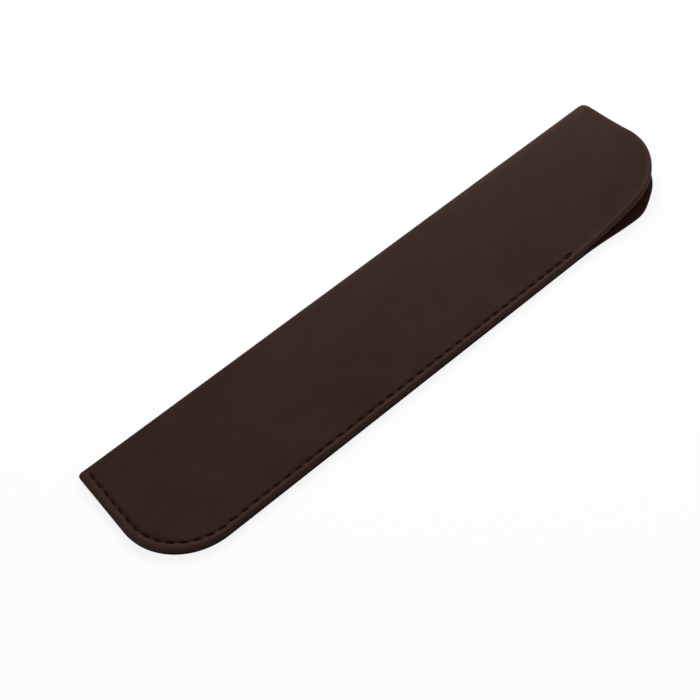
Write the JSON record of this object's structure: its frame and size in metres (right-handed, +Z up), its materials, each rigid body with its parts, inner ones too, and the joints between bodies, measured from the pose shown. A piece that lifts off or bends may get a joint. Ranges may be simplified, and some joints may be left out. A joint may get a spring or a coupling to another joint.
{
  "type": "single pen sleeve",
  "caption": "Slim folded leather sleeve for one pen, lock-stitched across one short end and up one long side, open at the other short end with two free rounded lips.",
  "frame": {"origin": "middle of the flat back face, where the sleeve rests on a table", "axes": "+X along the sleeve from the sewn short end to the mouth, +Y from the sewn long side to the fold, +Z up through the front face"},
  "size_m": [0.16, 0.0365, 0.0077],
  "materials": {
    "leather": "smooth matt dark brown leather",
    "edge_paint": "very dark reddish brown satin edge paint",
    "thread": "waxed near-black thread"
  },
  "bodies": {
    "sleeve": {"folded_spine": "leather", "front_panel": "leather", "back_panel": "leather", "needle_thread": "thread", "bobbin_thread": "thread", "seam_edge_paint": "edge_paint"},
    "front_lip": {"front_lip": "leather", "front_lip_edge_paint": "edge_paint"},
    "back_lip": {"back_lip": "leather", "back_lip_edge_paint": "edge_paint"}
  },
  "joints": [
    {"name": "front_lip_flex", "type": "hinge", "parent": "sleeve", "child": "front_lip", "pos_m": [0.08, 0.0105, 0.00714], "axis": [-0.7665, -0.6332, -0.1076], "range_deg": [-9, 45], "stiffness_Nm_per_rad": 0.004},
    {"name": "back_lip_flex", "type": "hinge", "parent": "sleeve", "child": "back_lip", "pos_m": [0.04741, -0.02031, 0.0011], "axis": [-0.771, -0.6369, 0], "range_deg": [0, 6], "stiffness_Nm_per_rad": 0.004}
  ]
}
